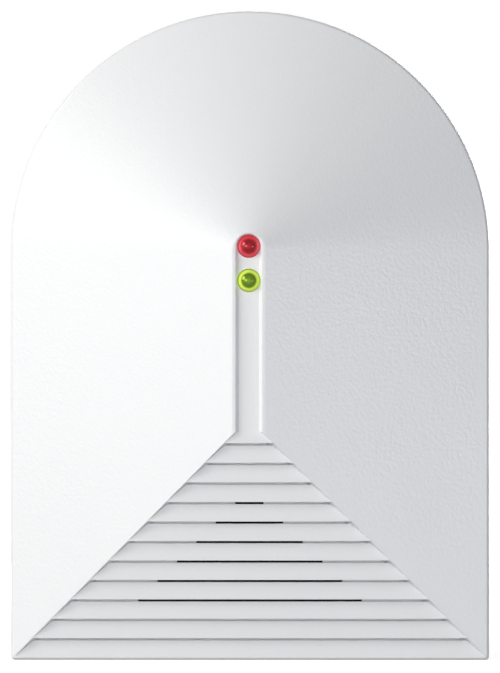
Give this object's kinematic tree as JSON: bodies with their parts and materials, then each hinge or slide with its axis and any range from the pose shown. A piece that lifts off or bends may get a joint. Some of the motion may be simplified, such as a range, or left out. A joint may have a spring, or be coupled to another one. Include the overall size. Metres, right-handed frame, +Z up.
{
  "type": "glass break sensor",
  "caption": "Wall-mounted acoustic glass break sensor: a round-topped, hip-roofed housing with a louvred lower face over the microphone and a ridge channel for its lights.",
  "frame": {"origin": "on the wall face, at the centre of the housing's round top", "axes": "+Z up the wall, +X to the right as seen from the room, +Y into the wall; the front faces -Y"},
  "size_m": [0.0666, 0.0255, 0.0899],
  "materials": {
    "white_housing": "satin moulded plastic",
    "red_lens": "clear tinted epoxy",
    "green_lens": "clear tinted epoxy",
    "tinned_metal": "tinned",
    "green_board": "solder mask",
    "black_plastic": "moulded",
    "black_rubber": "moulded",
    "aluminium_can": "drawn",
    "green_plastic": "moulded",
    "blue_plastic": "moulded",
    "black_cloth": "fine woven",
    "natural_nylon": "moulded",
    "grey_ceramic": "fired",
    "screw_steel": "zinc plated",
    "dark_sleeve": "shrink sleeve"
  },
  "bodies": {
    "housing": {"front_cover": "white_housing", "rear_base": "white_housing", "red_led": "red_lens", "red_led_leads": "tinned_metal", "red_led_spacer": "natural_nylon", "green_led": "green_lens", "green_led_leads": "tinned_metal", "green_led_spacer": "natural_nylon", "microphone_boot": "black_rubber", "microphone_capsule": "aluminium_can", "microphone_leads": "tinned_metal", "dust_screen": "black_cloth", "terminal_block": "green_plastic", "terminal_clamps": "screw_steel", "terminal_screws": "screw_steel", "terminal_pins": "tinned_metal", "tamper_switch": "black_plastic", "tamper_pins": "tinned_metal", "alarm_relay": "blue_plastic", "relay_pins": "tinned_metal", "microcontroller": "black_plastic", "microcontroller_leads": "tinned_metal", "amplifier": "black_plastic", "amplifier_leads": "tinned_metal", "reservoir_capacitor": "dark_sleeve", "filter_capacitors": "dark_sleeve", "capacitor_leads": "tinned_metal", "crystal": "aluminium_can", "crystal_leads": "tinned_metal", "jumper_base": "black_plastic", "jumper_pins": "tinned_metal", "jumper_caps": "blue_plastic", "chip_resistors": "grey_ceramic", "circuit_board": "green_board", "board_screws": "screw_steel"},
    "tamper_plunger": {"tamper_plunger": "natural_nylon"}
  },
  "joints": [
    {"name": "tamper_press", "type": "slide", "parent": "housing", "child": "tamper_plunger", "axis": [0, 1, 0], "range_m": [0, 0.0005], "stiffness_N_per_m": 500, "springref_m": -0.0015}
  ]
}
